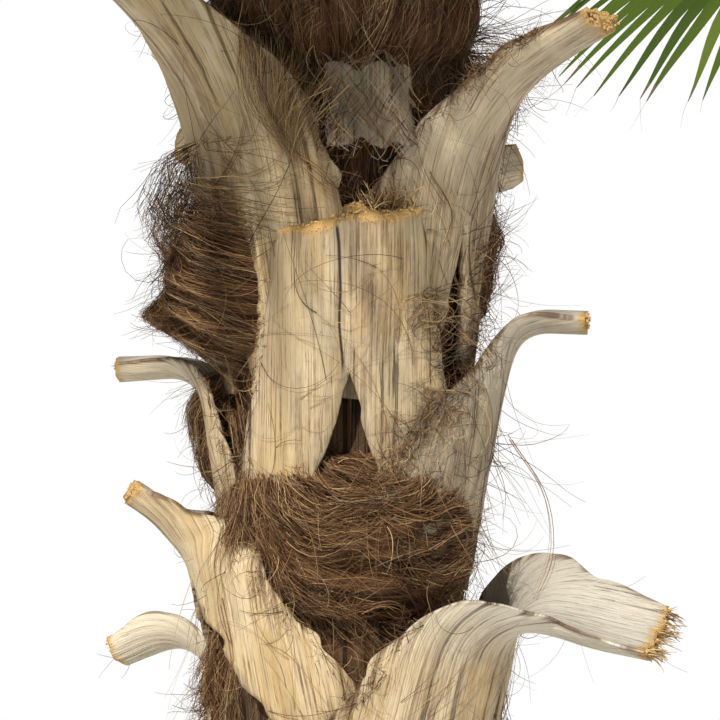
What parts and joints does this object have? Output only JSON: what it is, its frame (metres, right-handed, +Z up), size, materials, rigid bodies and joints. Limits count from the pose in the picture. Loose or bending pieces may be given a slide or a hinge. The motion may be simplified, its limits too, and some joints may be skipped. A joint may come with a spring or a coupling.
{
  "type": "sabal palm tree",
  "caption": "Rooted fan palm with a trunk clothed in split leaf bases and brown fibre under a full crown of costapalmate fronds.",
  "frame": {"origin": "middle of the flat cut under the trunk, at ground level", "axes": "+Z up the trunk; -Y is the side that shows in the picture, +X to its right"},
  "size_m": [3.3745, 3.1984, 3.8374],
  "materials": {
    "trunk_bark": "rough, fibrous, dark brown",
    "boot": "dry, straw tan, finely ribbed along its length",
    "fibre": "matted brown fibre",
    "frond": "satin green leaf",
    "spear": "satin pale green leaf"
  },
  "bodies": {
    "root": {"boot_front": "boot", "boot_left_base": "boot", "boot_left_low": "boot", "boot_left_mid": "boot", "boot_left_rear": "boot", "boot_low_01": "boot", "boot_low_02": "boot", "boot_low_03": "boot", "boot_low_04": "boot", "boot_low_05": "boot", "boot_low_06": "boot", "boot_low_07": "boot", "boot_low_08": "boot", "boot_low_09": "boot", "boot_low_10": "boot", "boot_low_11": "boot", "boot_low_12": "boot", "boot_rear_1": "boot", "boot_rear_2": "boot", "boot_rear_3": "boot", "boot_rear_4": "boot", "boot_rear_5": "boot", "boot_right_low": "boot", "boot_right_mid": "boot", "boot_right_rear": "boot", "boot_upper_left": "boot", "boot_upper_right": "boot", "fibre_crown_front": "fibre", "fibre_crown_rear": "fibre", "fibre_front_low": "fibre", "fibre_left": "fibre", "fibre_left_low": "fibre", "fibre_low": "fibre", "fibre_rear": "fibre", "fibre_right": "fibre", "frond_01": "frond", "frond_02": "frond", "frond_03": "frond", "frond_04": "frond", "frond_05": "frond", "frond_06": "frond", "frond_07": "frond", "frond_08": "frond", "frond_09": "frond", "frond_10": "frond", "frond_11": "frond", "frond_12": "frond", "frond_13": "frond", "frond_14": "frond", "frond_15": "frond", "frond_16": "frond", "frond_17": "frond", "frond_18": "frond", "frond_19": "frond", "spear_leaf": "spear", "trunk": "trunk_bark"}
  },
  "joints": []
}
